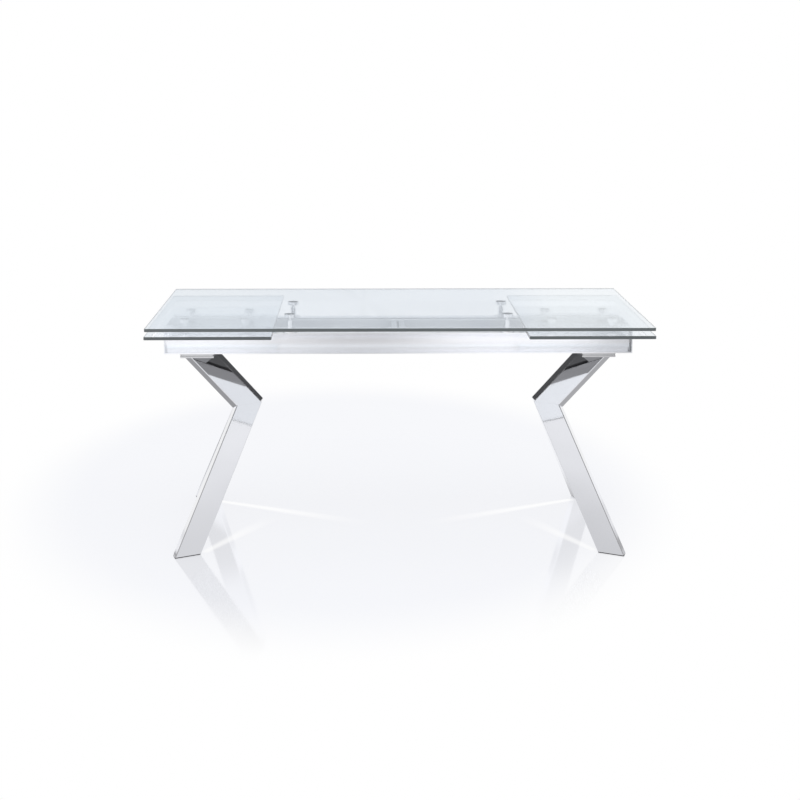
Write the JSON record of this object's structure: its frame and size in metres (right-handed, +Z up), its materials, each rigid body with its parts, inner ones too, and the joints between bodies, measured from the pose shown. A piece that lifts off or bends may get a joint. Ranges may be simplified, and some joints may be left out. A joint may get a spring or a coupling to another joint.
{
  "type": "extendable dining table",
  "caption": "Dining table with a clear glass top on a coved steel beam and cranked, splayed legs, extended by glass leaves that slide out from under its ends.",
  "frame": {"origin": "on the floor, under the middle of the table", "axes": "+X along the table's length to its right-hand end, +Y to the back, +Z up"},
  "size_m": [1.612, 0.9, 0.76],
  "materials": {
    "main_glass": "clear toughened float glass with polished edges",
    "leaf_glass": "clear toughened float glass with polished edges",
    "polished_steel": "mirror polished stainless steel",
    "bright_steel": "bright turned and ground steel",
    "tray_steel": "satin stainless sheet",
    "runner_aluminium": "satin anodised",
    "nylon": "natural nylon",
    "rubber": "black rubber",
    "foot_plastic": "dark moulded plastic",
    "fastener_steel": "zinc plated steel"
  },
  "bodies": {
    "table": {"back_fascia": "polished_steel", "back_left_foot_pad": "foot_plastic", "back_left_leg_arm": "polished_steel", "back_left_leg_shank": "polished_steel", "back_left_main_post": "bright_steel", "back_right_foot_pad": "foot_plastic", "back_right_leg_arm": "polished_steel", "back_right_leg_shank": "polished_steel", "back_right_main_post": "bright_steel", "back_track": "tray_steel", "centre_bridge": "tray_steel", "centre_buffers": "rubber", "centre_stops": "nylon", "front_fascia": "polished_steel", "front_left_foot_pad": "foot_plastic", "front_left_leg_arm": "polished_steel", "front_left_leg_shank": "polished_steel", "front_left_main_post": "bright_steel", "front_right_foot_pad": "foot_plastic", "front_right_leg_arm": "polished_steel", "front_right_leg_shank": "polished_steel", "front_right_main_post": "bright_steel", "front_track": "tray_steel", "left_cross_brace": "tray_steel", "left_end_cap": "polished_steel", "left_guide_blocks": "nylon", "left_leg_bolts": "fastener_steel", "left_leg_bracket": "bright_steel", "left_leg_flange": "bright_steel", "main_glass": "main_glass", "main_post_screws": "fastener_steel", "right_cross_brace": "tray_steel", "right_end_cap": "polished_steel", "right_guide_blocks": "nylon", "right_leg_bolts": "fastener_steel", "right_leg_bracket": "bright_steel", "right_leg_flange": "bright_steel", "travel_stops": "tray_steel", "tray_floor": "tray_steel"},
    "left_leaf": {"left_back_runner": "runner_aluminium", "left_front_runner": "runner_aluminium", "left_leaf_glass": "leaf_glass", "left_leaf_posts": "bright_steel", "left_rivet_nuts": "fastener_steel", "left_runner_plugs": "nylon", "left_runner_shoes": "nylon"},
    "right_leaf": {"right_back_runner": "runner_aluminium", "right_front_runner": "runner_aluminium", "right_leaf_glass": "leaf_glass", "right_leaf_posts": "bright_steel", "right_rivet_nuts": "fastener_steel", "right_runner_plugs": "nylon", "right_runner_shoes": "nylon"}
  },
  "joints": [
    {"name": "left_leaf_slide", "type": "slide", "parent": "table", "child": "left_leaf", "axis": [-1, 0, 0], "range_m": [0, 0.394]},
    {"name": "right_leaf_slide", "type": "slide", "parent": "table", "child": "right_leaf", "axis": [1, 0, 0], "range_m": [0, 0.394]}
  ]
}
